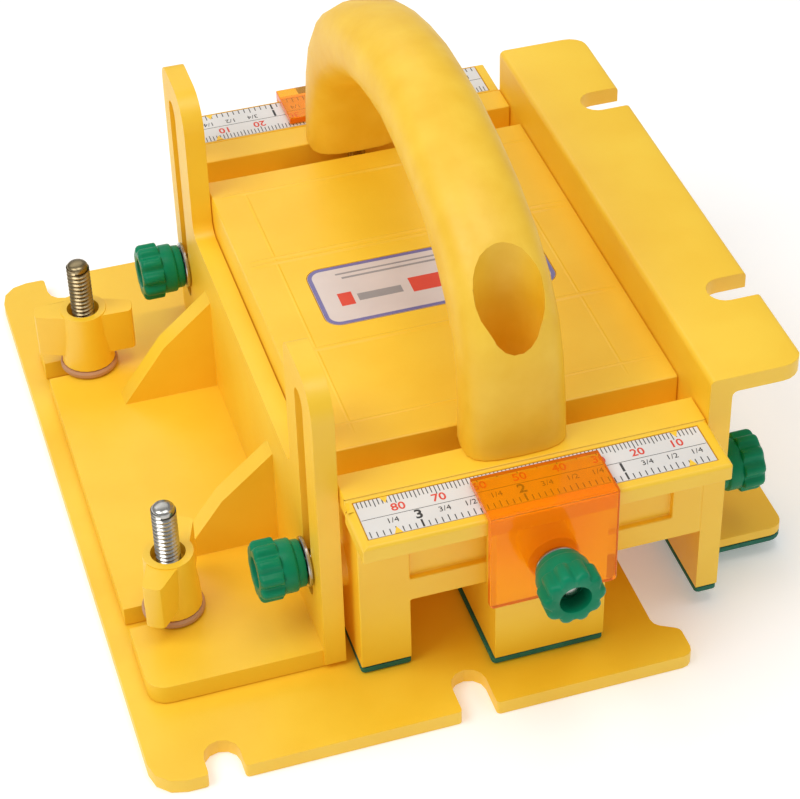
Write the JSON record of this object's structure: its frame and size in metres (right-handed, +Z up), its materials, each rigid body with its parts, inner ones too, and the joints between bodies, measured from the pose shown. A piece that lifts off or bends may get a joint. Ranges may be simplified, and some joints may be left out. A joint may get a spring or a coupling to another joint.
{
  "type": "push block",
  "caption": "Hand-held push block with an arched handle, sliding centre leg with cursors, scales, clamping knobs and a height-adjustable side bracket on a base plate.",
  "frame": {"origin": "centre of the base plate's underside", "axes": "+X to the right along the scales, +Y to the back along the handle, +Z up"},
  "size_m": [0.1769, 0.2178, 0.1294],
  "materials": {
    "yellow_plastic": "satin moulded plastic with a faint mottle",
    "green_knob_plastic": "gloss moulded plastic",
    "green_rubber": "matt rubber",
    "orange_acrylic": "clear orange acrylic",
    "tan_nylon": "smooth nylon",
    "silver_zinc": "bright zinc plate",
    "yellow_zinc": "yellow passivated zinc plate",
    "scale_sticker": "printed vinyl",
    "label_sticker": "printed vinyl"
  },
  "bodies": {
    "main_block": {"main_body": "yellow_plastic", "left_leg_pad": "green_rubber", "right_leg_bracket": "yellow_plastic", "right_leg_pad": "green_rubber", "front_scale": "scale_sticker", "rear_scale": "scale_sticker", "deck_label": "label_sticker", "left_front_stud": "silver_zinc", "left_front_washer": "silver_zinc", "left_rear_stud": "silver_zinc", "left_rear_washer": "silver_zinc", "right_front_stud": "silver_zinc", "right_front_washer": "silver_zinc", "right_rear_stud": "silver_zinc", "right_rear_washer": "silver_zinc"},
    "centre_leg_body": {"centre_leg": "yellow_plastic", "centre_leg_pad": "green_rubber", "front_cursor": "orange_acrylic", "rear_cursor": "orange_acrylic", "centre_front_stud": "silver_zinc", "centre_front_washer": "silver_zinc", "centre_rear_stud": "silver_zinc", "centre_rear_washer": "silver_zinc"},
    "stabilizer_body": {"stabilizer_plate": "yellow_plastic", "stabilizer_pad": "green_rubber"},
    "bracket_body": {"support_bracket": "yellow_plastic"},
    "base_plate_body": {"base_plate": "yellow_plastic", "front_plate_bolt": "silver_zinc", "rear_plate_bolt": "yellow_zinc", "front_nylon_washer": "tan_nylon", "rear_nylon_washer": "tan_nylon"},
    "handle_body": {"handle": "yellow_plastic", "handle_screw_front": "silver_zinc", "handle_screw_rear": "silver_zinc", "handle_nut_front": "silver_zinc", "handle_nut_rear": "silver_zinc"},
    "front_wing_nut_body": {"front_wing_nut": "yellow_plastic"},
    "rear_wing_nut_body": {"rear_wing_nut": "yellow_plastic"},
    "left_front_knob_body": {"left_front_knob": "green_knob_plastic"},
    "left_rear_knob_body": {"left_rear_knob": "green_knob_plastic"},
    "right_front_knob_body": {"right_front_knob": "green_knob_plastic"},
    "right_rear_knob_body": {"right_rear_knob": "green_knob_plastic"},
    "centre_front_knob_body": {"centre_front_knob": "green_knob_plastic"},
    "centre_rear_knob_body": {"centre_rear_knob": "green_knob_plastic"}
  },
  "joints": [
    {"name": "bracket_height_slide", "type": "slide", "parent": "bracket_body", "child": "main_block", "axis": [0, 0, 1], "range_m": [0, 0.045]},
    {"name": "base_plate_slide", "type": "slide", "parent": "base_plate_body", "child": "bracket_body", "axis": [1, 0, 0], "range_m": [-0.002, 0.009]},
    {"name": "centre_leg_slide", "type": "slide", "parent": "main_block", "child": "centre_leg_body", "axis": [1, 0, 0], "range_m": [-0.017, 0.018]},
    {"name": "handle_slide", "type": "slide", "parent": "main_block", "child": "handle_body", "axis": [1, 0, 0], "range_m": [-0.018, 0.018]},
    {"name": "stabilizer_height_slide", "type": "slide", "parent": "main_block", "child": "stabilizer_body", "axis": [0, 0, 1], "range_m": [-0.015, 0.012]},
    {"name": "front_wing_nut_turn", "type": "hinge", "parent": "base_plate_body", "child": "front_wing_nut_body", "pos_m": [-0.04875, -0.05095, 0.0125], "axis": [0, 0, 1], "continuous": true},
    {"name": "rear_wing_nut_turn", "type": "hinge", "parent": "base_plate_body", "child": "rear_wing_nut_body", "pos_m": [-0.04875, 0.05265, 0.0125], "axis": [0, 0, 1], "continuous": true},
    {"name": "left_front_knob_turn", "type": "hinge", "parent": "main_block", "child": "left_front_knob_body", "pos_m": [-0.0186, -0.0664, 0.0308], "axis": [-1, 0, 0], "continuous": true},
    {"name": "left_rear_knob_turn", "type": "hinge", "parent": "main_block", "child": "left_rear_knob_body", "pos_m": [-0.0186, 0.0614, 0.0308], "axis": [-1, 0, 0], "continuous": true},
    {"name": "right_front_knob_turn", "type": "hinge", "parent": "main_block", "child": "right_front_knob_body", "pos_m": [0.09085, -0.06635, 0.0308], "axis": [1, 0, 0], "continuous": true},
    {"name": "right_rear_knob_turn", "type": "hinge", "parent": "main_block", "child": "right_rear_knob_body", "pos_m": [0.09085, 0.05615, 0.0308], "axis": [1, 0, 0], "continuous": true},
    {"name": "centre_front_knob_turn", "type": "hinge", "parent": "centre_leg_body", "child": "centre_front_knob_body", "pos_m": [0.03505, -0.103, 0.0461], "axis": [0, -1, 0], "continuous": true},
    {"name": "centre_rear_knob_turn", "type": "hinge", "parent": "centre_leg_body", "child": "centre_rear_knob_body", "pos_m": [0.03505, 0.09065, 0.0461], "axis": [0, 1, 0], "continuous": true}
  ]
}
